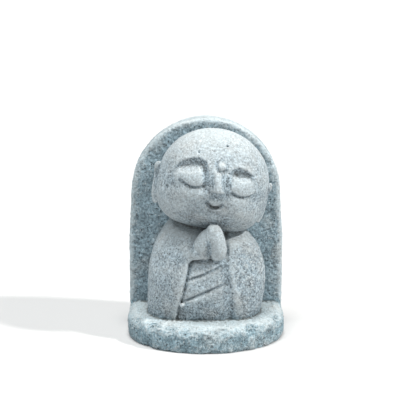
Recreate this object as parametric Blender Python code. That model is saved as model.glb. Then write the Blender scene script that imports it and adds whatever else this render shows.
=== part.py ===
"""Palm-sized stone Jizo: a praying figure, its arched back slab and its plinth, carved as one block.

Metres, +Z up. The figure faces -Y and the slab stands at +Y. The origin is the middle of the flat
underside. The plinth and the slab have sizes of their own, and the figure's carving is written in
hundredths of the figure's own height, measured from its foot and the slab's front face.
"""

import math

import bmesh
import bpy
import numpy as np
from mathutils import Euler, Matrix, Vector

MM = 0.001

# The whole block
BLOCK_HEIGHT = 49.0 * MM
BLOCK_DEPTH = 30.0 * MM

# The plinth: straight sides beside the slab, then a front that is half an ellipse
PLINTH_WIDTH = 36.0 * MM
PLINTH_THICKNESS = 5.8 * MM
PLINTH_STRAIGHT_SIDE = 13.0 * MM
PLINTH_EDGE_RADIUS = 2.0 * MM

# The back slab: nearly straight sides under a round arch, widest at a share of the sides' height
SLAB_THICKNESS = 7.1 * MM
SLAB_WIDTH = 36.0 * MM
SLAB_ARCH_WIDTH = 34.5 * MM
SLAB_EDGE_RADIUS = 0.9 * MM
SLAB_WIDEST_SHARE = 0.62

# The figure's foot is let into the plinth and its back into the slab, its crown just under the arch
CROWN_BELOW_ARCH = 1.5 * MM
FOOT_SUNK = 0.6 * MM
FIGURE_FOOT = PLINTH_THICKNESS - FOOT_SUNK
FIGURE_HEIGHT = BLOCK_HEIGHT - FIGURE_FOOT - CROWN_BELOW_ARCH
SLAB_FACE = BLOCK_DEPTH / 2 - SLAB_THICKNESS
UNIT = FIGURE_HEIGHT / 100

# Fineness of the stone's surface, and the number of flat facets that the finished block keeps
GRAIN = 0.25 * MM
SOFTENING_STEPS = 3
FACETS = 9300
FRONT_CARE = 0.0004
SINK = 0.8 * MM


def smooth_step(low, high, value):
    """0 below low, 1 above high, and a smooth rise between them."""
    t = np.clip((value - low) / (high - low), 0.0, 1.0)
    return t * t * (3.0 - 2.0 * t)


def dome(across, along, half_across, half_along, power=1.0):
    """A round mound: 1 in the middle of an ellipse and 0 from its rim outwards."""
    inside = 1.0 - (across / half_across) ** 2 - (along / half_along) ** 2
    return np.clip(inside, 0.0, 1.0) ** power


def bump(across, along, half_across, half_along):
    """A soft mound with no rim, such as a cheek."""
    return np.exp(-((across / half_across) ** 2) - (along / half_along) ** 2)


def distance_to_line(x, z, points):
    """How far each point is from a line of straight stretches, how far along it, and on which side."""
    nearest = np.full(x.shape, np.inf)
    share = np.zeros(x.shape)
    side = np.ones(x.shape)
    stretches = len(points) - 1
    for index in range(stretches):
        (x0, z0), (x1, z1) = points[index], points[index + 1]
        run_x, run_z = x1 - x0, z1 - z0
        t = np.clip(((x - x0) * run_x + (z - z0) * run_z) / (run_x**2 + run_z**2), 0.0, 1.0)
        away = np.hypot(x - x0 - t * run_x, z - z0 - t * run_z)
        closer = away < nearest
        nearest = np.where(closer, away, nearest)
        share = np.where(closer, (index + t) / stretches, share)
        turn = run_x * (z - z0) - run_z * (x - x0)
        side = np.where(closer, np.sign(turn), side)
    return nearest, share, side


def hanging_curve(middle, half_length, rise, slant=0.0):
    """A shallow curve that hangs from its two ends, such as a closed eye or a smile."""
    spots = np.linspace(-1.0, 1.0, 11)
    return [(middle[0] + half_length * s, middle[1] + rise * s * s + slant * s) for s in spots]


def groove(x, z, points, half_width):
    """A chiselled line: 1 along its middle, narrowing and fading towards both ends."""
    away, share, _ = distance_to_line(x, z, points)
    taper = np.clip(np.sin(np.pi * np.clip(share, 0.0, 1.0)), 0.0, 1.0) ** 0.4
    return taper * np.clip(1.0 - (away / half_width) ** 2, 0.0, 1.0)


def mesh_object(name, build):
    """An object whose mesh is made by build(bm)."""
    mesh = bpy.data.meshes.new(name)
    bm = bmesh.new()
    build(bm)
    bmesh.ops.recalc_face_normals(bm, faces=bm.faces)
    bm.to_mesh(mesh)
    bm.free()
    obj = bpy.data.objects.new(name, mesh)
    bpy.context.scene.collection.objects.link(obj)
    return obj


def points_of(mesh):
    """The mesh's points as rows of x, y and z."""
    points = np.empty(len(mesh.vertices) * 3)
    mesh.vertices.foreach_get("co", points)
    return points.reshape(-1, 3)


def set_points(mesh, points):
    mesh.vertices.foreach_set("co", points.ravel())
    mesh.update()


def prism(bm, outline, low, high, axis):
    """A closed outline of 2-D points drawn out from low to high along Y or Z."""

    def place(point, depth):
        return (point[0], depth, point[1]) if axis == "Y" else (point[0], point[1], depth)

    floor = bm.faces.new([bm.verts.new(place(point, low)) for point in outline])
    drawn = bmesh.ops.extrude_face_region(bm, geom=[floor])
    moved = [item for item in drawn["geom"] if isinstance(item, bmesh.types.BMVert)]
    rise = Vector(place((0.0, 0.0), high - low))
    bmesh.ops.translate(bm, verts=moved, vec=rise)


def round_edges(obj, radius):
    """Rounds the rims of a prism, which are its only edges that turn by more than 40 degrees."""
    bevel = obj.modifiers.new("rounded rims", "BEVEL")
    bevel.width = radius
    bevel.segments = 4
    bevel.limit_method = "ANGLE"
    bevel.angle_limit = math.radians(40)


def plinth():
    """A low slab, straight behind and beside, with a rounded front and worn edges all round."""
    half = PLINTH_WIDTH / 2
    back = BLOCK_DEPTH / 2
    turn = back - PLINTH_STRAIGHT_SIDE
    reach = turn + BLOCK_DEPTH / 2
    outline = [(half, back)]
    for step in range(41):
        angle = math.pi * step / 40
        outline.append((half * math.cos(angle), turn - reach * math.sin(angle)))
    outline.append((-half, back))
    obj = mesh_object("plinth_mass", lambda bm: prism(bm, outline, -SINK, PLINTH_THICKNESS, "Z"))
    round_edges(obj, PLINTH_EDGE_RADIUS)
    return obj


def back_slab():
    """The upright slab: a round arch on sides that spread a little towards the foot."""
    foot = SLAB_WIDTH / 2
    arch = SLAB_ARCH_WIDTH / 2
    spring = BLOCK_HEIGHT - arch
    widest = spring * SLAB_WIDEST_SHARE
    outline = [(foot, -SINK), (foot, widest)]
    for step in range(49):
        angle = math.pi * step / 48
        outline.append((arch * math.cos(angle), spring + arch * math.sin(angle)))
    outline += [(-foot, widest), (-foot, -SINK)]
    obj = mesh_object("slab_mass", lambda bm: prism(bm, outline, SLAB_FACE, BLOCK_DEPTH / 2, "Y"))
    round_edges(obj, SLAB_EDGE_RADIUS)
    return obj


# The robe, in hundredths of the figure's height: height above its foot, reach to the viewer's left
# and right, and reach forward of the slab's face. It sinks into the plinth and ends inside the head.
ROBE_RINGS = (
    (-3.0, 31.2, 28.4, 38.0),
    (2.0, 31.4, 29.4, 38.8),
    (8.0, 31.5, 30.7, 39.6),
    (14.0, 31.4, 31.6, 40.0),
    (21.0, 31.2, 32.0, 39.8),
    (28.0, 30.4, 31.4, 39.0),
    (34.0, 28.9, 29.5, 37.4),
    (40.0, 26.6, 26.0, 35.0),
    (46.0, 23.0, 20.5, 31.6),
    (51.0, 19.0, 15.0, 27.0),
    (56.0, 13.0, 10.0, 21.0),
)
ROBE_SQUARENESS = 2.5
ROBE_INTO_SLAB = 6.0

# Lines cut into the robe, as (across, height above its foot)
CUFF_EDGE = ((4.0, 34.9), (-3.0, 34.2), (-7.0, 33.8), (-8.6, 32.2), (-12.2, 17.0), (-16.2, 1.0))
FAR_SLEEVE_EDGE = ((9.8, 34.0), (10.4, 26.0), (11.6, 14.0), (12.8, 1.0))
UPPER_FOLD = ((-10.6, 22.6), (-1.0, 26.0), (9.4, 31.0))
LOWER_FOLD = ((-13.6, 11.0), (-1.0, 16.2), (11.0, 21.8))
BESIDE_HAND = 10.7
CREVICE_DEPTH = 2.4


def near_sleeve_relief(x, z):
    """The viewer's left sleeve and forearm, proud of the lap and undercut along the cuff."""
    away, share, side = distance_to_line(x, z, CUFF_EDGE)
    inward = away * side
    step = (2.3 - 1.3 * share) * smooth_step(-0.8, 0.6, -inward)
    step *= 1.0 - 0.8 * smooth_step(1.0, 18.0, -inward)
    undercut = -1.7 * (1.0 - 0.5 * share) * np.exp(-(((inward - 0.9) / 0.9) ** 2))
    forearm = 2.6 * bump(x + 4.0, z - 39.2, 9.0, 4.6) * smooth_step(-0.8, 0.6, -inward)
    return (step + undercut + forearm) * (1.0 - smooth_step(5.0, 10.0, x))


def far_sleeve_relief(x, z):
    """The viewer's right sleeve, set off from the lap by a soft valley."""
    away, _, side = distance_to_line(x, z, FAR_SLEEVE_EDGE)
    outward = away * side
    low = 1.0 - smooth_step(27.0, 36.0, z)
    valley = -0.8 * np.exp(-((outward / 2.2) ** 2))
    rise = 0.8 * smooth_step(-1.0, 5.0, outward) * (1.0 - smooth_step(4.0, 16.0, outward))
    return (valley + rise) * low


def under_head_relief(x, z):
    """The deep crevice where the shoulders meet the head, and the hollow beside the hands."""
    across, rise = x - HEAD_MIDDLE[0], z - HEAD_MIDDLE[2]
    u = across * math.cos(HEAD_TILT) - rise * math.sin(HEAD_TILT)
    w = across * math.sin(HEAD_TILT) + rise * math.cos(HEAD_TILT)
    ring = np.abs(u / HEAD_HALF[0]) ** JAW_SQUARENESS + np.abs(w / HEAD_HALF[2]) ** JAW_SQUARENESS
    outside = HEAD_HALF[2] * (ring ** (1 / JAW_SQUARENESS) - 1.0)
    beside_hand = np.exp(-(((x - BESIDE_HAND) / 1.3) ** 2)) * smooth_step(33.0, 37.0, z)
    return -CREVICE_DEPTH * np.exp(-(((outside - 0.4) / 2.0) ** 2)) - 1.8 * beside_hand


def robe_relief(x, z):
    """How far the robe's front stands out: two sleeves, and two folds cut across the lap."""
    away, _, side = distance_to_line(x, z, CUFF_EDGE)
    lap = smooth_step(-0.4, 0.6, away * side)
    folds = 1.3 * (groove(x, z, UPPER_FOLD, 1.15) + groove(x, z, LOWER_FOLD, 1.15))
    sleeves = near_sleeve_relief(x, z) + far_sleeve_relief(x, z)
    return sleeves - folds * lap + under_head_relief(x, z)


def robe():
    """The kneeling body under its robe: a stack of rounded rings with the sleeves and lap carved on it."""
    heights = [ring[0] for ring in ROBE_RINGS]
    levels = np.linspace(heights[0], heights[-1], 120)
    lefts = spline(heights, [ring[1] for ring in ROBE_RINGS], levels)
    rights = spline(heights, [ring[2] for ring in ROBE_RINGS], levels)
    reaches = spline(heights, [ring[3] for ring in ROBE_RINGS], levels)
    around = 240

    def build(bm):
        rings = []
        for level, left, right, reach in zip(levels, lefts, rights, reaches):
            middle = 0.5 * (right - left)
            half = 0.5 * (right + left)
            centre = 0.5 * (ROBE_INTO_SLAB - reach)
            deep = 0.5 * (ROBE_INTO_SLAB + reach)
            ring = []
            for step in range(around):
                angle = 2 * math.pi * step / around
                across = signed_power(math.cos(angle), 2 / ROBE_SQUARENESS)
                along = signed_power(math.sin(angle), 2 / ROBE_SQUARENESS)
                ring.append(bm.verts.new((middle + half * across, centre + deep * along, level)))
            rings.append([bm.edges.new((ring[i - 1], ring[i])) for i in range(around)])
        for lower, upper in zip(rings, rings[1:]):
            bmesh.ops.bridge_loops(bm, edges=lower + upper)
        bmesh.ops.edgeloop_fill(bm, edges=rings[0])
        bmesh.ops.edgeloop_fill(bm, edges=rings[-1])

    obj = mesh_object("robe_mass", build)
    points = points_of(obj.data)
    x, y, z = points.T
    facing = smooth_step(6.0, 22.0, -y)
    points[:, 1] -= robe_relief(x, z) * facing
    set_points(obj.data, points)
    return place_on_figure(obj)


def signed_power(value, power):
    return math.copysign(abs(value) ** power, value)


def spline(places, values, at):
    """A smooth curve through the given values, read at the given places."""
    places, values = np.array(places, float), np.array(values, float)
    slopes = np.gradient(values, places)
    index = np.clip(np.searchsorted(places, at, side="right") - 1, 0, len(places) - 2)
    span = places[index + 1] - places[index]
    t = (at - places[index]) / span
    return (
        (2 * t**3 - 3 * t**2 + 1) * values[index]
        + (t**3 - 2 * t**2 + t) * span * slopes[index]
        + (3 * t**2 - 2 * t**3) * values[index + 1]
        + (t**3 - t**2) * span * slopes[index + 1]
    )


def place_on_figure(obj):
    """From hundredths of the figure's height to metres, in the plinth and before the slab's face."""
    obj.data.transform(Matrix.Translation((0, SLAB_FACE, FIGURE_FOOT)) @ Matrix.Scale(UNIT, 4))
    return obj


# The head, in the same hundredths: its middle, and its own half width, half depth and half height
HEAD_MIDDLE = (4.2, -19.8, 73.8)
HEAD_HALF = (29.3, 24.8, 26.7)
HEAD_TILT = math.radians(11.5)
HEAD_TURN = math.radians(2.0)
JAW_SQUARENESS = 3.3

# The face, seen from the front about the head's middle. The two eyes differ a little, as carved: the
# near one is on the viewer's left, and its lines are written as their mirror image.
LID = (13.7, 0.3)
LASH_HALF_LENGTH = 6.4
LASH_RISE = 2.0
NEAR_LASH = (12.3, -2.6)
NEAR_SLANT = 0.4
NEAR_BROW_OUTER = ((23.6, 1), (21.6, 5.4), (18.8, 8.6), (15, 11), (10.6, 12.3))
NEAR_BROW = (*NEAR_BROW_OUTER, (6.8, 10.8), (5, 6.5), (4, 1.5), (3.4, -4.5))
FAR_LASH = (14.6, -3.4)
FAR_SLANT = 0.0
FAR_BROW = ((20.4, 5), (18, 8), (14.4, 10.2), (10.6, 11), (7.4, 9.8), (5.7, 7.2), (5, 3), (4.9, -2))
NOSE_TOP, NOSE_TIP, NOSE_FOOT = 10.0, -2.2, -3.9
NOSE_TOP_ACROSS, NOSE_TIP_ACROSS = -1.1, 1.9
MOUTH = (1.3, -11.2)
MOUTH_HALF_LENGTH = 4.4
MOUTH_RISE = 2.7
FOREHEAD_MARK = (1.2, 10.4)
MARK_RADIUS = 2.2


def eye_relief(out, w, brow, fade, lash, slant):
    """A socket that drops sharply under the brow, and a closed lid that swells down to the lashes."""
    away, share, side = distance_to_line(out, w, brow)
    below = away * side
    depth = 2.6 * smooth_step(0.0, 0.24, share) * (1.0 - fade * smooth_step(0.58, 0.8, share))
    depth *= 1.0 - smooth_step(0.92, 1.0, share)
    back = 3.0 + 4.8 * smooth_step(0.0, 0.35, share) - 3.2 * smooth_step(0.55, 0.75, share)
    wall = np.clip((below + 0.4) / (0.36 * back), 0.0, 1.0) ** 0.75
    socket = depth * wall * (1.0 - smooth_step(0.4 * back, back, below))
    along = (out - lash[0]) / LASH_HALF_LENGTH
    above = smooth_step(-0.5, 0.5, w - lash[1] - LASH_RISE * along**2 - slant * along)
    below_lash = (1.0 - above) * (1.0 - smooth_step(0.75, 1.05, np.abs(along)))
    lid = 1.9 * dome(out - LID[0], w - LID[1], 9.2, 7.2, 1.2) * (1.0 - 0.6 * below_lash)
    lashes = 1.5 * groove(out, w, hanging_curve(lash, LASH_HALF_LENGTH, LASH_RISE, slant), 1.15)
    under_lid = 0.5 * bump(out - LID[0], w + 6.4, 7.0, 2.0)
    return np.where(out > 0, lid + under_lid - socket - lashes, 0.0)


def nose_relief(u, w):
    """A narrow bridge with firm sides that starts between the brows, and a round tip."""
    down = np.clip((NOSE_TOP - w) / (NOSE_TOP - NOSE_TIP), 0.0, 1.0)
    across = NOSE_TOP_ACROSS + (NOSE_TIP_ACROSS - NOSE_TOP_ACROSS) * down
    half = 2.3 + 0.5 * down**3
    height = 0.7 + 2.7 * down**1.2
    length = smooth_step(NOSE_FOOT, NOSE_TIP, w) * smooth_step(NOSE_TOP + 4.0, NOSE_TOP - 2.0, w)
    return height * np.exp(-((np.abs(u - across) / half) ** 3.4)) * length


def mouth_relief(u, w):
    """A small closed smile under a slight upper lip."""
    upper = 0.35 * bump(u - MOUTH[0], w + 8.4, 3.2, 1.6)
    return upper - 2.4 * groove(u, w, hanging_curve(MOUTH, MOUTH_HALF_LENGTH, MOUTH_RISE), 1.2)


def face_relief(u, w):
    """How far the face stands out of the plain head."""
    cheeks = 1.5 * (bump(np.abs(u) - 16.5, w + 12.0, 10.0, 8.0) + bump(u, w + 19.0, 8.0, 5.0))
    mark = 1.8 * dome(u - FOREHEAD_MARK[0], w - FOREHEAD_MARK[1], MARK_RADIUS, MARK_RADIUS, 0.5)
    near_eye = eye_relief(-u, w, NEAR_BROW, 0.3, NEAR_LASH, NEAR_SLANT)
    far_eye = eye_relief(u, w, FAR_BROW, 0.95, FAR_LASH, FAR_SLANT)
    return cheeks + mark + near_eye + far_eye + nose_relief(u, w) + mouth_relief(u, w)


def head_pose():
    """The head leans to its left shoulder and turns a little the same way."""
    turn = Euler((0.0, HEAD_TILT, HEAD_TURN), "XYZ").to_matrix().to_4x4()
    return Matrix.Translation(HEAD_MIDDLE) @ turn


def head():
    """A shaved round head, full in the cheeks, with its face carved on the front."""
    obj = mesh_object(
        "head_mass",
        lambda bm: bmesh.ops.create_uvsphere(bm, u_segments=200, v_segments=150, radius=1.0),
    )
    points = points_of(obj.data)
    a, b, c = points.T
    ring = np.hypot(a, c) + 1e-9
    square = (np.abs(a) ** JAW_SQUARENESS + np.abs(c) ** JAW_SQUARENESS) ** (1 / JAW_SQUARENESS)
    fuller = np.where(c < 0, ring / (square + 1e-9), 1.0)
    points = np.stack([a * fuller, b, c * fuller], axis=1) * np.array(HEAD_HALF)
    u, v, w = points.T
    facing = smooth_step(0.05, 0.55, -b)
    points[:, 1] -= face_relief(u, w) * facing
    set_points(obj.data, points)
    obj.data.transform(head_pose())
    return place_on_figure(obj)


EAR_HALF = (1.7, 5.4, 11.4)
EAR_MIDDLE = (28.6, 4.0, -8.0)
EAR_SQUARENESS = 2.5
EAR_FLARE = 2.0
EAR_TOP_FORWARD = 2.2
EAR_LEAN = math.radians(22)


def ear(side):
    """A long, thin ear lying back against the head, with a rim that stands out behind and on top."""
    obj = mesh_object(
        "ear_mass",
        lambda bm: bmesh.ops.create_uvsphere(bm, u_segments=48, v_segments=32, radius=1.0),
    )
    points = points_of(obj.data)
    a, b, c = points.T
    square = (np.abs(b) ** EAR_SQUARENESS + np.abs(c) ** EAR_SQUARENESS) ** (1 / EAR_SQUARENESS)
    fuller = np.hypot(b, c) / (square + 1e-9)
    out = side * (a * EAR_HALF[0] + EAR_FLARE * smooth_step(0.3, 0.9, c))
    along = b * fuller * EAR_HALF[1] - EAR_TOP_FORWARD * smooth_step(0.4, 0.95, c)
    set_points(obj.data, np.stack([out, along, c * fuller * EAR_HALF[2]], axis=1))
    lean = Euler((math.radians(-6), 0.0, -side * EAR_LEAN), "XYZ").to_matrix().to_4x4()
    beside = Matrix.Translation((side * EAR_MIDDLE[0], EAR_MIDDLE[1], EAR_MIDDLE[2]))
    obj.data.transform(head_pose() @ beside @ lean)
    if side < 0:
        obj.data.flip_normals()
    return place_on_figure(obj)


HAND_SQUARENESS = 2.7
FAR_HAND_MIDDLE, FAR_HAND_HALF, FAR_HAND_LEAN = (5.5, -38.2, 43.2), (4.8, 5.7, 9.8), (6, -7, 0)
NEAR_HAND_MIDDLE, NEAR_HAND_HALF, NEAR_HAND_LEAN = (-0.2, -36.6, 42.0), (5.8, 5.4, 8.8), (8, 26, 0)
FINGER_TIPS_MIDDLE, FINGER_TIPS_HALF, FINGER_TIPS_LEAN = (3.5, -38.4, 48.0), (4.0, 4.6, 5.2), (6, 8, 0)


def hand(name, middle, half, lean):
    """One palm with its fingers: a full, rounded lobe turned by lean, in degrees."""
    obj = mesh_object(
        name,
        lambda bm: bmesh.ops.create_uvsphere(bm, u_segments=64, v_segments=48, radius=1.0),
    )
    points = points_of(obj.data)
    a, b, c = points.T
    ring = np.hypot(a, c)
    square = (np.abs(a) ** HAND_SQUARENESS + np.abs(c) ** HAND_SQUARENESS) ** (1 / HAND_SQUARENESS)
    fuller = ring / (square + 1e-9)
    set_points(obj.data, np.stack([a * fuller * (1.0 - 0.16 * c), b, c * fuller], axis=1))
    turn = Euler([math.radians(angle) for angle in lean], "XYZ").to_matrix().to_4x4()
    obj.data.transform(Matrix.Translation(middle) @ turn @ Matrix.Diagonal((*half, 1.0)))
    return place_on_figure(obj)


def hands():
    """Two hands pressed together upright under the chin, their finger tips one rounded mass."""
    return [
        hand("far_hand_mass", FAR_HAND_MIDDLE, FAR_HAND_HALF, FAR_HAND_LEAN),
        hand("near_hand_mass", NEAR_HAND_MIDDLE, NEAR_HAND_HALF, NEAR_HAND_LEAN),
        hand("finger_tips_mass", FINGER_TIPS_MIDDLE, FINGER_TIPS_HALF, FINGER_TIPS_LEAN),
    ]


def fused(masses):
    """All masses as one skin: one mesh, remade as a single even surface and softened as worn stone."""
    bm = bmesh.new()
    graph = bpy.context.evaluated_depsgraph_get()
    for mass in masses:
        bm.from_mesh(mass.evaluated_get(graph).to_mesh())
    mesh = bpy.data.meshes.new("jizo_statue")
    bm.to_mesh(mesh)
    bm.free()
    for mass in masses:
        bpy.data.objects.remove(mass)
    obj = bpy.data.objects.new("jizo_statue", mesh)
    bpy.context.scene.collection.objects.link(obj)
    skin = obj.modifiers.new("one skin", "REMESH")
    skin.mode = "VOXEL"
    skin.voxel_size = GRAIN
    soften = obj.modifiers.new("worn", "SMOOTH")
    soften.factor = 0.5
    soften.iterations = SOFTENING_STEPS
    return obj


def settle(obj):
    """Replaces the object's mesh by what its modifiers make of it."""
    graph = bpy.context.evaluated_depsgraph_get()
    made = bpy.data.meshes.new_from_object(obj.evaluated_get(graph), depsgraph=graph)
    obj.modifiers.clear()
    obj.data = made


def carved_front(points):
    """1 on the face, the hands and the lap, where the carving is finest, and 0 away from them."""
    x, y, z = ((points - (0.0, SLAB_FACE, FIGURE_FOOT)) / UNIT).T
    face = bump(x - HEAD_MIDDLE[0], z - 71.0, 24.0, 17.0)
    lap = bump(x + 2.0, z - 30.0, 15.0, 24.0)
    return np.clip(1.6 * np.maximum(face, lap), 0.0, 1.0) * smooth_step(20.0, 30.0, -y)


def thin_to_facets(obj, facets):
    """Leaves about the given number of flat triangles, the smallest of them on the carved front."""
    free = 1.0 - 0.9 * carved_front(points_of(obj.data))
    group = obj.vertex_groups.new(name="free to thin")
    for level in range(1, 11):
        chosen = np.flatnonzero(np.round(free * 10) == level)
        group.add(chosen.tolist(), level / 10, "REPLACE")
    obj.data.transform(Matrix.Scale(1 / MM, 4))
    triangles = sum(len(face.vertices) - 2 for face in obj.data.polygons)
    thin = obj.modifiers.new("facets", "DECIMATE")
    thin.ratio = facets / triangles
    thin.use_collapse_triangulate = True
    thin.vertex_group = group.name
    thin.vertex_group_factor = FRONT_CARE
    settle(obj)
    obj.vertex_groups.clear()
    obj.data.transform(Matrix.Scale(MM, 4))


def saw_flat(obj, height):
    """Saws the block off level at the given height, which leaves the flat underside."""
    bm = bmesh.new()
    bm.from_mesh(obj.data)
    everything = bm.verts[:] + bm.edges[:] + bm.faces[:]
    bmesh.ops.bisect_plane(
        bm, geom=everything, plane_co=(0, 0, height), plane_no=(0, 0, 1), clear_inner=True, dist=1e-6
    )
    rim = [edge for edge in bm.edges if edge.is_boundary]
    bmesh.ops.edgeloop_fill(bm, edges=rim)
    bmesh.ops.triangulate(bm, faces=bm.faces)
    bm.to_mesh(obj.data)
    bm.free()


def stone():
    """Pale blue-grey moulded sandstone."""
    material = bpy.data.materials.new("pale_sandstone")
    material.use_nodes = True
    shader = material.node_tree.nodes["Principled BSDF"]
    shader.inputs["Base Color"].default_value = (0.36, 0.43, 0.46, 1.0)
    shader.inputs["Roughness"].default_value = 0.92
    shader.inputs["Metallic"].default_value = 0.0
    return material


def jizo_statue():
    masses = [plinth(), back_slab(), robe(), head(), ear(-1), ear(1)] + hands()
    block = fused(masses)
    settle(block)
    thin_to_facets(block, FACETS)
    saw_flat(block, 0.0)
    block.data.materials.clear()
    block.data.materials.append(stone())
    return block


def main():
    for old in list(bpy.data.objects):
        bpy.data.objects.remove(old)
    jizo_statue()


main()
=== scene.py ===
"""The looks of a palm-sized stone Jizo that prays before an arched slab on a rounded plinth."""

import math

import bpy
import numpy as np
from mathutils import Euler, Matrix, Vector


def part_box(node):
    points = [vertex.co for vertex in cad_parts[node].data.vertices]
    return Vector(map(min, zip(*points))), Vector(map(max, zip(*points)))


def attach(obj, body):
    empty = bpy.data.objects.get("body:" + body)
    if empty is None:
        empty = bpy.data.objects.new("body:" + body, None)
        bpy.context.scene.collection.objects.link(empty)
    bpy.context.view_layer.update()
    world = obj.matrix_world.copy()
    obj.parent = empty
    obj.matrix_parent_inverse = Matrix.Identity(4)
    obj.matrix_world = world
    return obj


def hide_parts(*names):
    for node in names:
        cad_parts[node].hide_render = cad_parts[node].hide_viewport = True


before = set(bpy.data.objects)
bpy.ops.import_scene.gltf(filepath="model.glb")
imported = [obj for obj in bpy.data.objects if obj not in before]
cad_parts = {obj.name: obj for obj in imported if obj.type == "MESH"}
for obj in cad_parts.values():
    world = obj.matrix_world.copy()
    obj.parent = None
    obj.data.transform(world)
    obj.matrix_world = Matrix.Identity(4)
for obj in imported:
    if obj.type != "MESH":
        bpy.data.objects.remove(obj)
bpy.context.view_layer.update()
bpy.ops.object.select_all(action="DESELECT")
block_low, block_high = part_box("jizo_statue")
MM = 0.001

# The camera: a long lens a hand's length and a half away, a little above the statue and square to it.
# The picture is framed with the statue just right of its middle and a little low.
PICTURE = 400
LENS_IN_PIXELS = 1163
SENSOR_WIDTH = 36
CAMERA_DISTANCE = 263 * MM
CAMERA_RISE = math.radians(12)
AIM = Vector((0, 0, 24.5 * MM))
AIM_PIXEL = (205.8, 230.5)
NEAREST_SEEN = 10 * MM

bpy.ops.object.camera_add()
camera = bpy.context.object
back = Vector((0, -math.cos(CAMERA_RISE), math.sin(CAMERA_RISE)))
camera.location = AIM + back * CAMERA_DISTANCE
camera.rotation_euler = (-back).to_track_quat("-Z", "Y").to_euler()
camera.data.sensor_width = SENSOR_WIDTH
camera.data.lens = SENSOR_WIDTH * LENS_IN_PIXELS / PICTURE
camera.data.shift_x = -(AIM_PIXEL[0] - PICTURE / 2) / PICTURE
camera.data.shift_y = (AIM_PIXEL[1] - PICTURE / 2) / PICTURE
camera.data.clip_start = NEAREST_SEEN
bpy.context.scene.camera = camera

# The plinth: the foot of the block, straight beside the slab and half an ellipse in front, with worn
# edges. It was moulded with the rest, so it is a mass of the one stone and not a piece of its own.
PLINTH_THICKNESS = 5.8 * MM
PLINTH_STRAIGHT_SIDE = 13.0 * MM
PLINTH_EDGE = 2.0 * MM
BELOW_GROUND = 0.8 * MM
SHARP_RIM = math.radians(40)
ON_THE_CUT = 1e-6

half_width = (block_high.x - block_low.x) / 2
plinth_turn = block_high.y - PLINTH_STRAIGHT_SIDE
plinth_height = PLINTH_THICKNESS + BELOW_GROUND


def keep_one_side(point, normal):
    """Cuts the mesh that is being edited at a plane, closes the cut and leaves the new face selected."""
    bpy.ops.mesh.select_all(action="SELECT")
    bpy.ops.mesh.bisect(
        plane_co=point,
        plane_no=normal,
        use_fill=True,
        clear_outer=True,
        threshold=ON_THE_CUT,
    )


def draw_out(by, widen=(1, 1, 1)):
    """Extrudes the selected faces by a vector and widens their new end about the middle."""
    bpy.ops.mesh.extrude_region_move(TRANSFORM_OT_translate={"value": by})
    bpy.ops.transform.resize(value=widen, center_override=(0, 0, 0))


def round_edges(piece, radius):
    """Rounds every rim that turns by more than SHARP_RIM."""
    bevel = piece.modifiers.new("rounded rims", "BEVEL")
    bevel.width = radius
    bevel.segments = 5
    bevel.limit_method = "ANGLE"
    bevel.angle_limit = SHARP_RIM
    bpy.ops.object.modifier_apply(modifier=bevel.name)


bpy.ops.mesh.primitive_cylinder_add(
    vertices=160,
    radius=1,
    depth=1,
    scale=(half_width, plinth_turn - block_low.y, plinth_height),
    location=(0, plinth_turn, plinth_height / 2 - BELOW_GROUND),
)
plinth = bpy.context.object
plinth.name = "plinth"
bpy.ops.object.transform_apply()
bpy.ops.object.mode_set(mode="EDIT")
keep_one_side((0, plinth_turn, 0), (0, 1, 0))
draw_out((0, PLINTH_STRAIGHT_SIDE, 0))
bpy.ops.object.mode_set(mode="OBJECT")
round_edges(plinth, PLINTH_EDGE)

# The slab: the arch behind the figure, as wide as the plinth at its middle and a little narrower above
# and below, with a rounded rim. It is the same stone, left rougher than the figure.
SLAB_THICKNESS = 7.1 * MM
SLAB_ARCH_WIDTH = 34.5 * MM
SLAB_FOOT_WIDTH = 35.6 * MM
SLAB_WIDEST_SHARE = 0.6
SLAB_RIM = 0.9 * MM

arch_radius = SLAB_ARCH_WIDTH / 2
arch_spring = block_high.z - arch_radius
slab_face = block_high.y - SLAB_THICKNESS
slab_middle = block_high.y - SLAB_THICKNESS / 2
slab_widest = arch_spring * SLAB_WIDEST_SHARE

bpy.ops.mesh.primitive_cylinder_add(
    vertices=192,
    radius=arch_radius,
    depth=SLAB_THICKNESS,
    rotation=(math.pi / 2, 0, 0),
    location=(0, slab_middle, arch_spring),
)
slab = bpy.context.object
slab.name = "slab"
bpy.ops.object.transform_apply()
bpy.ops.object.mode_set(mode="EDIT")
keep_one_side((0, 0, arch_spring), (0, 0, -1))
draw_out((0, 0, slab_widest - arch_spring), (half_width / arch_radius, 1, 1))
draw_out((0, 0, -slab_widest - BELOW_GROUND), (SLAB_FOOT_WIDTH / 2 / half_width, 1, 1))
bpy.ops.object.mode_set(mode="OBJECT")
round_edges(slab, SLAB_RIM)

# The robe: the kneeling body from neck to hem. Its sleeves stand proud of the lap, the near one is
# undercut along its cuff, and two thin folds are chiselled across the lap. From here on the carving is
# written in hundredths of the figure's height, from its foot in the plinth and the slab's face.
CROWN_BELOW_ARCH = 1.5 * MM
FOOT_SUNK = 0.6 * MM
RING_HEIGHTS = (-3, 2, 8, 14, 21, 28, 34, 40, 46, 51, 56)
RING_LEFTS = (31.2, 31.4, 31.5, 31.4, 31.2, 30.4, 28.9, 26.6, 23.0, 19.0, 13.0)
RING_RIGHTS = (28.4, 29.4, 30.7, 31.6, 32.0, 31.4, 29.5, 26.0, 20.5, 15.0, 10.0)
RING_REACHES = (38.0, 38.8, 39.6, 40.0, 39.8, 39.0, 37.4, 35.0, 31.6, 27.0, 21.0)
ROBE_SQUARENESS = 2.5
ROBE_INTO_SLAB = 6.0
CUFF_EDGE = ((4.0, 34.9), (-3.0, 34.2), (-7.0, 33.8), (-8.6, 32.2), (-12.2, 17.0), (-16.2, 1.0))
CUFF_STEP, CUFF_STEP_LOST_BELOW, CUFF_SOFTNESS = 2.3, 1.3, 0.5
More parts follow.
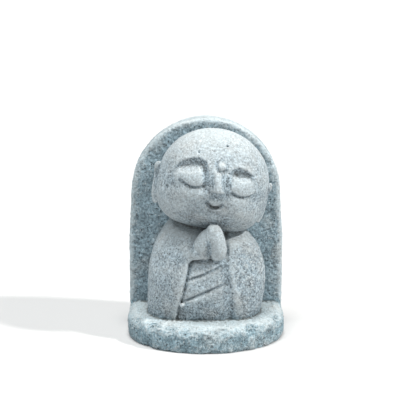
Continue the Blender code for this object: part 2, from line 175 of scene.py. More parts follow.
BACK_TO_BODY, BACK_TO_BODY_RUN = 0.8, (1, 18)
UNDERCUT_DEPTH, UNDERCUT_HALF_WIDTH, UNDERCUT_MIDDLE = 1.9, 0.9, 0.75
FOREARM, FOREARM_HALF, FOREARM_RISE = (-4, 39.2), (9, 4.6), 2.6
FAR_SLEEVE_EDGE = ((9.8, 34.0), (10.4, 26.0), (11.6, 14.0), (12.8, 1.0))
VALLEY_DEPTH, VALLEY_HALF_WIDTH, FAR_SLEEVE_STEP = 0.8, 2.2, 0.8
UPPER_FOLD = ((-10.6, 22.6), (-1.0, 26.0), (9.4, 31.0))
LOWER_FOLD = ((-13.6, 11.0), (-1.0, 16.2), (11.0, 21.8))
FOLD_HALF_WIDTH = 0.85
FOLD_DEPTH = 1.8
SLEEVE_BEAD, SLEEVE_BEAD_RADIUS = (-12.4, -39.8, 10.0), 1.25
CARVED_FRONT = (6, 22)
CREVICE_DEPTH, CREVICE_HALF_WIDTH, CREVICE_MIDDLE = 3.2, 2.3, 0.4
BESIDE_HAND, BESIDE_HAND_HALF_WIDTH, BESIDE_HAND_DEPTH = 10.7, 1.2, 1.8
HEAD_MIDDLE = (4.2, -19.8, 73.8)
HEAD_HALF = (29.3, 24.8, 26.7)
HEAD_TILT = math.radians(11.5)
JAW_SQUARENESS = 3.3

figure_foot = PLINTH_THICKNESS - FOOT_SUNK
unit = (block_high.z - figure_foot - CROWN_BELOW_ARCH) / 100
figure_place = Matrix.Translation((0, slab_face, figure_foot)) @ Matrix.Scale(unit, 4)


def smooth_step(low, high, value):
    """0 below low, 1 above high, and a smooth rise between them."""
    t = np.clip((value - low) / (high - low), 0, 1)
    return t * t * (3 - 2 * t)


def bump(across, along, half_across, half_along):
    """A soft mound with no rim, such as a cheek."""
    return np.exp(-((across / half_across) ** 2) - (along / half_along) ** 2)


def distance_to_line(x, z, points):
    """How far each point is from a line of straight stretches, how far along it, and on which side."""
    nearest = np.full(x.shape, np.inf)
    share = np.zeros(x.shape)
    side = np.ones(x.shape)
    stretches = len(points) - 1
    for index, ((x0, z0), (x1, z1)) in enumerate(zip(points, points[1:])):
        run_x, run_z = x1 - x0, z1 - z0
        t = np.clip(((x - x0) * run_x + (z - z0) * run_z) / (run_x**2 + run_z**2), 0, 1)
        away = np.hypot(x - x0 - t * run_x, z - z0 - t * run_z)
        closer = away < nearest
        nearest = np.where(closer, away, nearest)
        share = np.where(closer, (index + t) / stretches, share)
        side = np.where(closer, np.sign(run_x * (z - z0) - run_z * (x - x0)), side)
    return nearest, share, side


def groove(x, z, points, half_width):
    """A chiselled line: 1 along its middle, narrowing and fading towards both ends."""
    away, share, _ = distance_to_line(x, z, points)
    taper = np.sin(np.pi * np.clip(share, 0, 1)) ** 0.4
    return taper * np.clip(1 - (away / half_width) ** 2, 0, 1)


def points_of(piece):
    """The mesh's points as rows of x, y and z."""
    points = np.empty(len(piece.data.vertices) * 3)
    piece.data.vertices.foreach_get("co", points)
    return points.reshape(-1, 3)


def move_points(piece, points):
    """Puts the mesh's points at new places."""
    piece.data.vertices.foreach_set("co", np.ascontiguousarray(points).ravel())
    piece.data.update()


def near_sleeve(x, z):
    """The viewer's left sleeve and forearm, proud of the lap and undercut along the cuff."""
    away, share, side = distance_to_line(x, z, CUFF_EDGE)
    inward = away * side
    on_sleeve = smooth_step(-CUFF_SOFTNESS, CUFF_SOFTNESS, -inward)
    step = (CUFF_STEP - CUFF_STEP_LOST_BELOW * share) * on_sleeve
    step *= 1 - BACK_TO_BODY * smooth_step(*BACK_TO_BODY_RUN, -inward)
    into = (inward - UNDERCUT_MIDDLE) / (UNDERCUT_HALF_WIDTH - 0.35 * share)
    undercut = -UNDERCUT_DEPTH * (1 - 0.45 * share) * np.exp(-(into**2))
    forearm = FOREARM_RISE * bump(x - FOREARM[0], z - FOREARM[1], *FOREARM_HALF) * on_sleeve
    return (step + undercut + forearm) * (1 - smooth_step(5, 10, x))


def far_sleeve(x, z):
    """The viewer's right sleeve, set off from the lap by a soft valley."""
    away, _, side = distance_to_line(x, z, FAR_SLEEVE_EDGE)
    outward = away * side
    valley = -VALLEY_DEPTH * np.exp(-((outward / VALLEY_HALF_WIDTH) ** 2))
    rise = FAR_SLEEVE_STEP * smooth_step(-1, 5, outward) * (1 - smooth_step(4, 16, outward))
    return (valley + rise) * (1 - smooth_step(27, 36, z))


def under_head(x, z):
    """The deep crevice where the shoulders meet the head, and the hollow beside the hands."""
    across, rise = x - HEAD_MIDDLE[0], z - HEAD_MIDDLE[2]
    u = across * math.cos(HEAD_TILT) - rise * math.sin(HEAD_TILT)
    w = across * math.sin(HEAD_TILT) + rise * math.cos(HEAD_TILT)
    ring = np.abs(u / HEAD_HALF[0]) ** JAW_SQUARENESS + np.abs(w / HEAD_HALF[2]) ** JAW_SQUARENESS
    outside = HEAD_HALF[2] * (ring ** (1 / JAW_SQUARENESS) - 1)
    crevice = np.exp(-(((outside - CREVICE_MIDDLE) / CREVICE_HALF_WIDTH) ** 2))
    beside_hand = np.exp(-(((x - BESIDE_HAND) / BESIDE_HAND_HALF_WIDTH) ** 2)) * smooth_step(33, 37, z)
    return CREVICE_DEPTH * crevice + BESIDE_HAND_DEPTH * beside_hand


def robe_relief(x, z):
    """How far the robe's front stands out of the plain body."""
    away, _, side = distance_to_line(x, z, CUFF_EDGE)
    lap = smooth_step(-0.4, 0.6, away * side)
    folds = groove(x, z, UPPER_FOLD, FOLD_HALF_WIDTH) + groove(x, z, LOWER_FOLD, FOLD_HALF_WIDTH)
    return near_sleeve(x, z) + far_sleeve(x, z) - FOLD_DEPTH * folds * lap - under_head(x, z)


def spline(places, values, at):
    """A smooth curve through the given values, read at the given places."""
    places, values = np.array(places, float), np.array(values, float)
    slopes = np.gradient(values, places)
    index = np.clip(np.searchsorted(places, at, side="right") - 1, 0, len(places) - 2)
    span = places[index + 1] - places[index]
    t = (at - places[index]) / span
    start = (2 * t**3 - 3 * t**2 + 1) * values[index] + (t**3 - 2 * t**2 + t) * span * slopes[index]
    end = (3 * t**2 - 2 * t**3) * values[index + 1] + (t**3 - t**2) * span * slopes[index + 1]
    return start + end


def signed_power(value, power):
    """A power that keeps the sign."""
    return np.sign(value) * np.abs(value) ** power


bpy.ops.mesh.primitive_cylinder_add(vertices=360, radius=1, depth=1)
robe = bpy.context.object
robe.name = "robe"
bpy.ops.object.mode_set(mode="EDIT")
bpy.ops.mesh.select_mode(type="EDGE")
bpy.ops.mesh.select_all(action="DESELECT")
bpy.ops.object.mode_set(mode="OBJECT")
for edge in robe.data.edges:
    start, end = (robe.data.vertices[index].co.z for index in edge.vertices)
    edge.select = abs(start - end) > 0.5
bpy.ops.object.mode_set(mode="EDIT")
bpy.ops.mesh.subdivide(number_cuts=150)
bpy.ops.object.mode_set(mode="OBJECT")

around_x, around_y, up = points_of(robe).T
level = RING_HEIGHTS[0] + (up + 0.5) * (RING_HEIGHTS[-1] - RING_HEIGHTS[0])
left, right, reach = (spline(RING_HEIGHTS, ring, level) for ring in (RING_LEFTS, RING_RIGHTS, RING_REACHES))
robe_x = (right - left) / 2 + (right + left) / 2 * signed_power(around_x, 2 / ROBE_SQUARENESS)
deep = (ROBE_INTO_SLAB + reach) / 2
robe_y = (ROBE_INTO_SLAB - reach) / 2 + deep * signed_power(around_y, 2 / ROBE_SQUARENESS)
robe_y -= robe_relief(robe_x, level) * smooth_step(*CARVED_FRONT, -robe_y)
move_points(robe, np.stack([robe_x, robe_y, level], axis=1))
robe.data.transform(figure_place)

bpy.ops.mesh.primitive_uv_sphere_add(segments=48, ring_count=32, radius=SLEEVE_BEAD_RADIUS)
bead = bpy.context.object
bead.name = "bead"
bead.data.transform(figure_place @ Matrix.Translation(SLEEVE_BEAD))

# The head: shaved, round and full in the cheeks, leaning towards the viewer's right. Its face is carved
# in shallow relief: brows, closed lids, a narrow nose, a small smile and a round mark on the forehead.
# In the carving, u runs across the face and w up it, from the middle of the head.
HEAD_TURN = math.radians(2.0)
FACE_FRONT = (0.05, 0.55)
CHEEK, CHEEK_HALF, CHEEK_HEIGHT = (16.5, -12), (10, 8), 1.5
CHIN_BELOW, CHIN_HALF = 19, (8, 5)
SOCKET_DEPTH = 2.35
SOCKET_REACH, SOCKET_REACH_GAINED, SOCKET_REACH_LOST = 3.0, 4.8, 3.2
LID, LID_HALF, LID_HEIGHT = (13.7, 0.3), (9.2, 7.2), 1.35
UNDER_LID, UNDER_LID_HALF, UNDER_LID_HEIGHT = -6.4, (7, 2), 0.5
LASH_HALF_LENGTH, LASH_HALF_WIDTH, LASH_DEPTH = 6.5, 0.95, 1.8
LASH_RISE = 2.0
NEAR_SLANT, FAR_SLANT = 0.4, 0.0
NEAR_FADE, FAR_FADE = 0.3, 0.95
NEAR_LASH = (12.3, -2.6)
NEAR_BROW_OUTER = ((23.6, 1), (21.6, 5.4), (18.8, 8.6), (15, 11), (10.6, 12.3))
NEAR_BROW = (*NEAR_BROW_OUTER, (6.8, 10.8), (5, 6.5), (4, 1.5), (3.4, -4.5))
FAR_LASH = (14.6, -3.4)
FAR_BROW = ((20.4, 5), (18, 8), (14.4, 10.2), (10.6, 11), (7.4, 9.8), (5.7, 7.2), (5, 3), (4.9, -2))
NOSE_TOP, NOSE_TIP, NOSE_FOOT = 10.0, -2.2, -3.5
NOSE_TOP_ACROSS, NOSE_TIP_ACROSS = -1.1, 1.9
NOSE_HALF_WIDTH, NOSE_WIDENING = 2.3, 0.5
NOSE_TOP_HEIGHT, NOSE_TIP_GAIN = 0.7, 2.7
MOUTH, MOUTH_RISE = (1.3, -11.2), 2.7
MOUTH_HALF_LENGTH, MOUTH_HALF_WIDTH, MOUTH_DEPTH = 4.4, 1.15, 2.3
UPPER_LIP, UPPER_LIP_HALF, UPPER_LIP_HEIGHT = -8.4, (3.2, 1.6), 0.35
FOREHEAD_MARK, MARK_RADIUS, MARK_HEIGHT = (1.2, 10.4), 2.2, 1.6
MARK_RING_DEPTH, MARK_RING_HALF_WIDTH = 1.1, 0.8


def dome(across, along, half_across, half_along, power):
    """A round mound: 1 in the middle of an ellipse and 0 from its rim outwards."""
    inside = 1 - (across / half_across) ** 2 - (along / half_along) ** 2
    return np.clip(inside, 0, 1) ** power


def hanging_curve(middle, half_length, rise, slant=0.0):
    """A shallow curve that hangs from its two ends, such as a closed eye or a smile."""
    spots = np.linspace(-1, 1, 15)
    return [(middle[0] + half_length * s, middle[1] + rise * s * s + slant * s) for s in spots]


def eye_relief(out, w, brow, fade, lash, slant):
    """A socket that drops sharply under the brow, and a closed lid that swells down to the lashes.

    A share runs along the brow, from 0 at the temple to 1 beside the nose, where the socket fades.
    """
    away, share, side = distance_to_line(out, w, brow)
    below = away * side
    depth = SOCKET_DEPTH * smooth_step(0.0, 0.24, share) * (1 - fade * smooth_step(0.58, 0.8, share))
    depth *= 1 - smooth_step(0.92, 1.0, share)
    back = SOCKET_REACH + SOCKET_REACH_GAINED * smooth_step(0.0, 0.35, share)
    back -= SOCKET_REACH_LOST * smooth_step(0.55, 0.75, share)
    wall = np.clip((below + 0.4) / (0.36 * back), 0, 1) ** 0.75
    socket = depth * wall * (1 - smooth_step(0.4 * back, back, below))
    along = (out - lash[0]) / LASH_HALF_LENGTH
    above = smooth_step(-0.4, 0.4, w - lash[1] - LASH_RISE * along**2 - slant * along)
    below_lash = (1 - above) * (1 - smooth_step(0.75, 1.05, np.abs(along)))
    lid = LID_HEIGHT * dome(out - LID[0], w - LID[1], *LID_HALF, 1.2) * (1 - 0.6 * below_lash)
    lash_line = hanging_curve(lash, LASH_HALF_LENGTH, LASH_RISE, slant)
    lashes = LASH_DEPTH * groove(out, w, lash_line, LASH_HALF_WIDTH)
    under_lid = UNDER_LID_HEIGHT * bump(out - LID[0], w - UNDER_LID, *UNDER_LID_HALF)
    return np.where(out > 0, lid + under_lid - socket - lashes, 0)


def nose_relief(u, w):
    """A narrow bridge with firm sides that starts between the brows, and a round tip."""
    down = np.clip((NOSE_TOP - w) / (NOSE_TOP - NOSE_TIP), 0, 1)
    across = NOSE_TOP_ACROSS + (NOSE_TIP_ACROSS - NOSE_TOP_ACROSS) * down
    half = NOSE_HALF_WIDTH + NOSE_WIDENING * down**3
    height = NOSE_TOP_HEIGHT + NOSE_TIP_GAIN * down**1.2
    length = smooth_step(NOSE_FOOT, NOSE_TIP, w) * smooth_step(NOSE_TOP + 4, NOSE_TOP - 2, w)
    return height * np.exp(-((np.abs(u - across) / half) ** 3.4)) * length


def mouth_relief(u, w):
    """A small closed smile under a slight upper lip."""
    upper = UPPER_LIP_HEIGHT * bump(u - MOUTH[0], w - UPPER_LIP, *UPPER_LIP_HALF)
    smile = hanging_curve(MOUTH, MOUTH_HALF_LENGTH, MOUTH_RISE)
    return upper - MOUTH_DEPTH * groove(u, w, smile, MOUTH_HALF_WIDTH)


def forehead_mark(across, rise):
    """The round mark on the forehead, cut in more deeply below than above."""
    around = np.exp(-(((np.hypot(across, rise) - MARK_RADIUS - 0.5) / MARK_RING_HALF_WIDTH) ** 2))
    lower = smooth_step(1.5, -1.5, rise + 0.5 * across)
    button = dome(across, rise, MARK_RADIUS, MARK_RADIUS, 0.7)
    return MARK_HEIGHT * button - MARK_RING_DEPTH * around * lower


def face_relief(u, w):
    """How far the face stands out of the plain head."""
    cheeks = bump(np.abs(u) - CHEEK[0], w - CHEEK[1], *CHEEK_HALF) + bump(u, w + CHIN_BELOW, *CHIN_HALF)
    mark = forehead_mark(u - FOREHEAD_MARK[0], w - FOREHEAD_MARK[1])
    near_eye = eye_relief(-u, w, NEAR_BROW, NEAR_FADE, NEAR_LASH, NEAR_SLANT)
    eyes = near_eye + eye_relief(u, w, FAR_BROW, FAR_FADE, FAR_LASH, FAR_SLANT)
    return CHEEK_HEIGHT * cheeks + mark + eyes + nose_relief(u, w) + mouth_relief(u, w)


def squarer(across, rise, squareness):
    """How much further out a round outline goes where it becomes a squarer one."""
    square = (np.abs(across) ** squareness + np.abs(rise) ** squareness) ** (1 / squareness)
    return np.hypot(across, rise) / (square + 1e-9)


head_turn = Euler((0, HEAD_TILT, HEAD_TURN), "XYZ").to_matrix().to_4x4()
head_place = figure_place @ Matrix.Translation(HEAD_MIDDLE) @ head_turn

bpy.ops.mesh.primitive_uv_sphere_add(segments=112, ring_count=84, radius=1)
head = bpy.context.object
head.name = "head"
finer = head.modifiers.new("finer", "SUBSURF")
finer.levels = finer.render_levels = 2
bpy.ops.object.modifier_apply(modifier=finer.name)
ball = points_of(head)
move_points(head, ball / np.linalg.norm(ball, axis=1, keepdims=True))
ball_x, ball_y, ball_z = points_of(head).T
fuller = np.where(ball_z < 0, squarer(ball_x, ball_z, JAW_SQUARENESS), 1)
head_u, head_w = ball_x * fuller * HEAD_HALF[0], ball_z * fuller * HEAD_HALF[2]
head_v = ball_y * HEAD_HALF[1] - face_relief(head_u, head_w) * smooth_step(*FACE_FRONT, -ball_y)
move_points(head, np.stack([head_u, head_v, head_w], axis=1))
head.data.transform(head_place)

# The ears: long and thin, lying back against the head, with a rim that stands out behind and on top.
# Only their front edges show, as two thin flaps beside the cheeks.
EAR_HALF = (1.7, 5.4, 11.4)
EAR_MIDDLE = (28.6, 4.0, -8.0)
EAR_SQUARENESS = 2.5
EAR_FLARE = 2.6
EAR_TOP_FORWARD = 3.0
EAR_LEAN = math.radians(22)
EAR_NOD = math.radians(-6)

ears = []
for side in (-1, 1):
    bpy.ops.mesh.primitive_uv_sphere_add(segments=96, ring_count=64, radius=1)
    ear = bpy.context.object
    ear.name = "ear"
    out, along, rise = points_of(ear).T
    fuller = squarer(along, rise, EAR_SQUARENESS)
    out = side * (out * EAR_HALF[0] + EAR_FLARE * smooth_step(0.3, 0.9, rise))
    along = along * fuller * EAR_HALF[1] - EAR_TOP_FORWARD * smooth_step(0.4, 0.95, rise)
    move_points(ear, np.stack([out, along, rise * fuller * EAR_HALF[2]], axis=1))
    lean = Euler((EAR_NOD, 0, -side * EAR_LEAN), "XYZ").to_matrix().to_4x4()
    beside = Matrix.Translation((side * EAR_MIDDLE[0], EAR_MIDDLE[1], EAR_MIDDLE[2]))
    ear.data.transform(head_place @ beside @ lean)
    if side < 0:
        ear.data.flip_normals()
    ears.append(ear)

# The hands: two palms pressed together upright under the chin. The one on the viewer's right is whole
# and stands in front, the other runs back into its forearm, and the finger tips close above the two.
HAND_SQUARENESS = 2.7
HAND_TAPER = 0.16
FAR_HAND = {"middle": (5.5, -38.2, 43.2), "half": (4.8, 5.7, 9.8), "lean": (6, -7)}
NEAR_HAND = {"middle": (-0.2, -36.6, 42.0), "half": (5.8, 5.4, 8.8), "lean": (8, 26)}
FINGER_TIPS = {"middle": (3.3, -38.3, 47.2), "half": (4.0, 4.8, 6.0), "lean": (6, 8)}

hands = []
for hand_sizes in (FAR_HAND, NEAR_HAND, FINGER_TIPS):
    bpy.ops.mesh.primitive_uv_sphere_add(segments=128, ring_count=96, radius=1)
    hand = bpy.context.object
    hand.name = "hand"
    across, deep, rise = points_of(hand).T
    fuller = squarer(across, rise, HAND_SQUARENESS)
    narrowed = across * fuller * (1 - HAND_TAPER * rise)
    move_points(hand, np.stack([narrowed, deep, rise * fuller], axis=1))
    lean = Euler([math.radians(angle) for angle in (*hand_sizes["lean"], 0)], "XYZ").to_matrix().to_4x4()
    size = Matrix.Diagonal((*hand_sizes["half"], 1))
    hand.data.transform(figure_place @ Matrix.Translation(hand_sizes["middle"]) @ lean @ size)
    hands.append(hand)

# The statue: all the masses as one skin of cast stone. The slab and plinth are pitted and lumpy, the
# figure is rubbed nearly smooth, the plinth's lip is chipped and the underside is sawn flat.
SKIN_GRAIN = 0.17 * MM
WORN_SHARE, WORN_ROUNDS = 0.5, 2
TRIANGLES = 192000

# Each chip in a rim: its middle, how far it spreads and how deep it is, in mm.
RIM_CHIPS = (
    ((-11.6, -9.8, 5.6), 2.6, 0.55),
    ((-8.0, -12.8, 5.6), 2.1, 0.45),
    ((-15.2, -5.6, 5.6), 2.2, 0.4),
    ((-4.6, -14.6, 5.0), 1.7, 0.25),
    ((3.2, -15.0, 5.2), 2.4, 0.35),
    ((10.4, -11.8, 4.8), 2.5, 0.5),
    ((13.8, -8.2, 2.6), 2.3, 0.4),
    ((15.8, -4.4, 5.0), 2.2, 0.5),
    ((12.0, -10.6, 1.2), 2.0, 0.35),
    ((7.6, -13.6, 1.4), 2.2, 0.3),
    ((-4.4, -15.0, 0.9), 2.2, 0.3),
    ((-12.8, -9.4, 1.4), 2.2, 0.3),
    ((17.4, 6.8, 14.6), 1.6, 0.25),
    ((-17.2, 7.8, 23.0), 1.7, 0.25),
    ((15.0, 7.8, 38.6), 1.5, 0.25),
)
# Each bubble hole in the casting: its middle and how far it spreads, in mm.
MOULD_PITS = (
    ((-8.5, -7.0, 35.8), 0.42),
    ((4.8, -7.0, 44.7), 0.36),
    ((-1.5, -8.3, 43.6), 0.3),
    ((-7.8, -6.9, 39.0), 0.3),
    ((6.6, -8.4, 30.4), 0.3),
    ((-11.2, 0.9, 37.5), 0.6),
    ((-11.4, 1.3, 31.0), 0.7),
    ((14.3, 2.6, 32.4), 0.5),
)
PIT_DEPTH = 0.55
SLAB_COARSENESS = 0.6
FIGURE_ROUGHNESS = 0.3
CHISELLED_SLEEVE = ((10.0, 15.5), (3.6, 7.0))
LUMPS = {"size": 4.5, "depth": 0.5, "contrast": 1.0}
TOOL_MARKS = {"size": 1.0, "depth": 0.5, "contrast": 1.8}
FINE_PITS = {"size": 0.6, "depth": 0.28, "contrast": 1.8}
CLOUD_LEVEL = 0.6
WEIGHT_STEPS = 10
HOLLOW_ROUNDS = 24

bpy.ops.object.select_all(action="DESELECT")
for mass in [plinth, slab, robe, bead, head, *ears, *hands]:
    mass.select_set(True)
bpy.context.view_layer.objects.active = head
bpy.ops.object.join()
statue = bpy.context.object
statue.name = "stone_statue"
skin = statue.modifiers.new("one skin", "REMESH")
skin.mode = "VOXEL"
skin.voxel_size = SKIN_GRAIN
worn = statue.modifiers.new("worn", "SMOOTH")
worn.factor = WORN_SHARE
worn.iterations = WORN_ROUNDS
for modifier in (skin, worn):
    bpy.ops.object.modifier_apply(modifier=modifier.name)
statue.data.transform(Matrix.Scale(1 / MM, 4))


def coarseness(points):
    """1 on the plinth, less on the slab, and 0 on the figure, which was rubbed down (mm)."""
    before_slab = 1 - smooth_step(slab_face / MM - 1.0, slab_face / MM - 0.3, points[:, 1])
    above_plinth = smooth_step(PLINTH_THICKNESS / MM, PLINTH_THICKNESS / MM + 0.7, points[:, 2])
    return (1 - before_slab * above_plinth) * (1 - (1 - SLAB_COARSENESS) * above_plinth)


def chiselled(points):
    """1 on the middle of the viewer's right sleeve, which keeps its tool marks (mm)."""
    middle, half = CHISELLED_SLEEVE
    return bump(points[:, 0] - middle[0], points[:, 2] - middle[1], *half) * (1 - coarseness(points))


def normals_of(piece):
    """The directions in which the mesh's points face, as rows of x, y and z."""
    normals = np.empty(len(piece.data.vertices) * 3)
    piece.data.vertices.foreach_get("normal", normals)
    return normals.reshape(-1, 3)


def roughen(name, weights, size, depth, contrast):
    """Presses a cloud pattern of a size into the surface, as deep as each point's weight says (mm)."""
    pattern = bpy.data.textures.new(name, "CLOUDS")
    pattern.noise_scale = size
    pattern.contrast = contrast
    group = statue.vertex_groups.new(name=name)
    for step in range(1, WEIGHT_STEPS + 1):
        alike = np.flatnonzero(np.round(weights * WEIGHT_STEPS) == step).tolist()
        group.add(alike, step / WEIGHT_STEPS, "REPLACE")
    press = statue.modifiers.new(name, "DISPLACE")
    press.texture = pattern
    press.texture_coords = "LOCAL"
    press.strength = depth
    press.mid_level = CLOUD_LEVEL
    press.vertex_group = name
    bpy.ops.object.modifier_apply(modifier=name)


moulded = points_of(statue)
rough, tooled = coarseness(moulded), chiselled(moulded)
all_over = FIGURE_ROUGHNESS + (1 - FIGURE_ROUGHNESS) * rough
roughen("lumps", all_over, **LUMPS)
roughen("tool_marks", tooled, **TOOL_MARKS)
roughen("pits", np.maximum(all_over, tooled), **FINE_PITS)
skin_points, skin_normals = points_of(statue), normals_of(statue)
for place, size, depth in RIM_CHIPS:
    near = np.linalg.norm((skin_points - place) / size, axis=1)
    skin_points -= skin_normals * (depth * smooth_step(0, 0.7, 1 - near))[:, None]
for place, size in MOULD_PITS:
    near = np.linalg.norm(skin_points - place, axis=1) / size
    skin_points -= skin_normals * (PIT_DEPTH * smooth_step(0, 0.8, 1 - near))[:, None]
move_points(statue, skin_points)

triangles = sum(len(face.vertices) - 2 for face in statue.data.polygons)
thin = statue.modifiers.new("fewer triangles", "DECIMATE")
thin.ratio = TRIANGLES / triangles
bpy.ops.object.modifier_apply(modifier=thin.name)
statue.vertex_groups.clear()
bpy.ops.object.mode_set(mode="EDIT")
keep_one_side((0, 0, 0), (0, 0, -1))
bpy.ops.object.mode_set(mode="OBJECT")
bpy.ops.object.shade_smooth()


def hollowness(piece):
    """How far each point lies below the surface around it (mm), less than 0 on ridges and rims."""
    ends = np.empty(len(piece.data.edges) * 2, dtype=np.int32)
    piece.data.edges.foreach_get("vertices", ends)
    first, second = ends.reshape(-1, 2).T
    own, other = np.concatenate([first, second]), np.concatenate([second, first])
    points = points_of(piece)
    level = points.copy()
    around = np.bincount(own, minlength=len(points))
    for _ in range(HOLLOW_ROUNDS):
        level = np.stack([np.bincount(own, axis[other], len(points)) / around for axis in level.T], axis=1)
    return ((level - points) * normals_of(piece)).sum(axis=1)


def keep_on_points(name, values):
    """Keeps one number on each point, for the material to read."""
    kept = statue.data.attributes.new(name, "FLOAT", "POINT")
    kept.data.foreach_set("value", np.ascontiguousarray(values))


keep_on_points("coarse", coarseness(points_of(statue)))
keep_on_points("hollow", hollowness(statue))
keep_on_points("upward", normals_of(statue)[:, 2])
statue.data.transform(Matrix.Scale(MM, 4))

FIGURE_STONE = (0.275, 0.337, 0.375, 1)
ROUGH_STONE = (0.203, 0.29, 0.333, 1)
DARK_GRAIN = (0.05, 0.06, 0.065, 1)
WHITE_GRAIN = (0.8, 0.83, 0.82, 1)
# Painted shade with some grime: the near-black laid into hollows, creases and the crevice under the head.
CREVICE_SHADE_AND_GRIME = (0.045, 0.043, 0.036, 1)
WARM_STAIN = (0.34, 0.315, 0.285, 1)
WORN_RIM = (0.6, 0.65, 0.66, 1)
# Painted light: the pale colour laid on faces that look upward, as if lit from above.
PAINTED_TOP_LIGHT = (0.54, 0.555, 0.545, 1)
STAIN_SHARE, WHITE_SHARE, DARK_SHARE = 0.35, 0.5, 0.75
PAINTED_TOP_LIGHT_SHARE, RIM_SHARE, SHADE_AND_GRIME_SHARE = 0.42, 0.4, 0.68
RIM_HOLLOW, SHADE_AND_GRIME_HOLLOW = (-0.05, -0.25), (0.12, 0.45)
BLOTCH_SHADES, CLUMP_SHADES = (0.88, 1.12), (0.86, 1.14)
DARKEST_SAND, LIGHTEST_SAND = (0.4, 0.64), 1.6
# Painted shade: how dark faces that look downward are made.
UNDERSIDE_SHADE = 0.7
GRAIN_RELIEF = 0.14 * MM
STONE_ROUGHNESS, STONE_SPECULAR = 0.9, 0.3

stone = bpy.data.materials.new("pale_sandstone")
stone.use_nodes = True
stone_nodes, stone_links = stone.node_tree.nodes, stone.node_tree.links
surface = stone_nodes["Principled BSDF"]


def add(kind, sockets, **settings):
    """One more node of the stone's material, with its sockets set or fed."""
    made = stone_nodes.new(kind)
    for name, value in settings.items():
        setattr(made, name, value)
    for name, value in sockets.items():
        if isinstance(value, bpy.types.NodeSocket):
            stone_links.new(value, made.inputs[name])
        else:
            made.inputs[name].default_value = value
    return made


def ranged(value, low, high, out_low=0.0, out_high=1.0):
    """Brings a value's range onto another one, and holds it there."""
    sockets = {"Value": value, "From Min": low, "From Max": high, "To Min": out_low, "To Max": out_high}
    return add("ShaderNodeMapRange", sockets).outputs["Result"]


def mixed(amount, under, over, blend="MIX"):
    """One colour laid over another."""
    made = add("ShaderNodeMix", {0: amount, 6: under, 7: over}, data_type="RGBA", blend_type=blend)
    return made.outputs[2]


def clouds(per_mm, detail, roughness):
    """Soft uneven patches of a size."""
    sockets = {"Vector": in_mm, "Scale": per_mm, "Detail": detail, "Roughness": roughness}
    return add("ShaderNodeTexNoise", sockets).outputs["Fac"]


def grains(per_mm, fewest, largest):
    """Scattered round grains: only the cells whose own chance is above fewest hold one."""
    cells = add("ShaderNodeTexVoronoi", {"Vector": in_mm, "Scale": per_mm})
    chance = add("ShaderNodeSeparateColor", {"Color": cells.outputs["Color"]}).outputs[0]
    size = ranged(chance, fewest, 1.0, 0.0, largest)
    over = add("ShaderNodeMath", {0: size, 1: cells.outputs["Distance"]}, operation="SUBTRACT").outputs[0]
    return ranged(over, 0.0, 0.1)


object_place = add("ShaderNodeTexCoord", {}).outputs["Object"]
in_mm = add("ShaderNodeMapping", {"Vector": object_place, "Scale": (1 / MM,) * 3}).outputs["Vector"]
coarse = add("ShaderNodeAttribute", {}, attribute_name="coarse").outputs["Fac"]
hollow = add("ShaderNodeAttribute", {}, attribute_name="hollow").outputs["Fac"]
upward = add("ShaderNodeAttribute", {}, attribute_name="upward").outputs["Fac"]
sand = clouds(per_mm=2.2, detail=4.0, roughness=0.85)
blotch = clouds(per_mm=0.35, detail=3.0, roughness=0.5)
clump = clouds(per_mm=1.1, detail=2.0, roughness=0.5)
stain = clouds(per_mm=0.21, detail=3.0, roughness=0.6)
dark_grains = grains(per_mm=2.0, fewest=0.3, largest=0.44)
white_grains = grains(per_mm=2.3, fewest=0.5, largest=0.4)

colour = mixed(coarse, FIGURE_STONE, ROUGH_STONE)
colour = mixed(ranged(stain, 0.5, 0.72, 0, STAIN_SHARE), colour, WARM_STAIN)
colour = mixed(1.0, colour, ranged(blotch, 0.3, 0.7, *BLOTCH_SHADES), "MULTIPLY")
colour = mixed(1.0, colour, ranged(clump, 0.3, 0.7, *CLUMP_SHADES), "MULTIPLY")
darkest_sand = ranged(coarse, 0, SLAB_COARSENESS, *DARKEST_SAND)
sand_shade = ranged(sand, 0.38, 0.62, darkest_sand, LIGHTEST_SAND)
colour = mixed(1.0, colour, sand_shade, "MULTIPLY")
colour = mixed(ranged(white_grains, 0, 1, 0, WHITE_SHARE), colour, WHITE_GRAIN)
colour = mixed(ranged(dark_grains, 0, 1, 0, DARK_SHARE), colour, DARK_GRAIN)
# Painted light: faces that look upward are made paler.
colour = mixed(ranged(upward, 0.3, 0.9, 0, PAINTED_TOP_LIGHT_SHARE), colour, PAINTED_TOP_LIGHT)
# Painted shade: faces that look downward are darkened.
colour = mixed(1.0, colour, ranged(upward, -0.7, 0.15, UNDERSIDE_SHADE, 1.0), "MULTIPLY")
colour = mixed(ranged(hollow, *RIM_HOLLOW, 0, RIM_SHARE), colour, WORN_RIM)
# Painted shade and grime: hollows and creases are darkened, the deeper the darker.
colour = mixed(ranged(hollow, *SHADE_AND_GRIME_HOLLOW, 0, SHADE_AND_GRIME_SHARE), colour, CREVICE_SHADE_AND_GRIME)
stone_links.new(colour, surface.inputs["Base Color"])

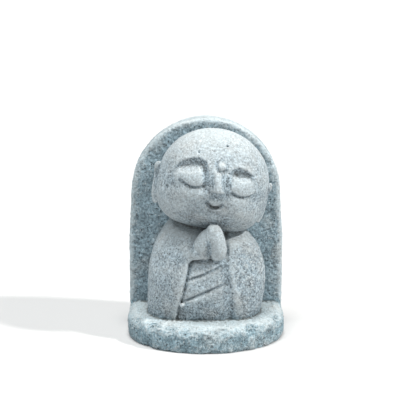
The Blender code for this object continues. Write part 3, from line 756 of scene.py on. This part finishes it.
height = add("ShaderNodeMath", {0: sand, 1: clump}, operation="ADD").outputs[0]
height = add("ShaderNodeMath", {0: height, 1: dark_grains}, operation="SUBTRACT").outputs[0]
grain_depth = ranged(coarse, 0, 1, 0.6, 0.9)
relief = add("ShaderNodeBump", {"Height": height, "Strength": grain_depth, "Distance": GRAIN_RELIEF})
stone_links.new(relief.outputs["Normal"], surface.inputs["Normal"])
surface.inputs["Roughness"].default_value = STONE_ROUGHNESS
surface.inputs["Specular IOR Level"].default_value = STONE_SPECULAR
statue.data.materials.append(stone)

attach(statue, "root")
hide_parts("jizo_statue")

# The room: a wide pale floor, a soft overhead light, one firm light from the viewer's right, a weak one
# from the left and a faint cool sky, as in a small photo tent. The picture is shown without a film curve.
FLOOR_SIZE = 40
FLOOR_PAINT = (0.6, 0.6, 0.6, 1)
SKY_COLOUR, SKY_STRENGTH = (0.9, 0.96, 1, 1), 0.3

bpy.ops.mesh.primitive_plane_add(size=FLOOR_SIZE)
floor = bpy.context.object
floor.name = "floor"
floor_paint = bpy.data.materials.new("pale_floor")
floor_paint.use_nodes = True
floor_paint.node_tree.nodes["Principled BSDF"].inputs["Base Color"].default_value = FLOOR_PAINT
floor.data.materials.append(floor_paint)


def shine(name, towards, strength, width, colour):
    """A far light that stands in the given direction and is some degrees wide."""
    turn = (-Vector(towards)).to_track_quat("-Z", "Y").to_euler()
    bpy.ops.object.light_add(type="SUN", rotation=turn)
    light = bpy.context.object
    light.name = name
    light.data.energy = strength
    light.data.angle = math.radians(width)
    light.data.color = colour


shine("overhead", towards=(-0.05, -0.06, 1.0), strength=3.2, width=26, colour=(1, 0.99, 0.97))
shine("right_key", towards=(0.7, -0.26, 0.66), strength=2.7, width=4, colour=(1, 0.98, 0.95))
shine("left_fill", towards=(-0.4, -0.4, 0.82), strength=0.75, width=30, colour=(0.93, 0.98, 1))

sky = bpy.data.worlds.new("white_room")
sky.use_nodes = True
sky.node_tree.nodes["Background"].inputs["Color"].default_value = SKY_COLOUR
sky.node_tree.nodes["Background"].inputs["Strength"].default_value = SKY_STRENGTH
bpy.context.scene.world = sky
bpy.context.scene.view_settings.view_transform = "Standard"
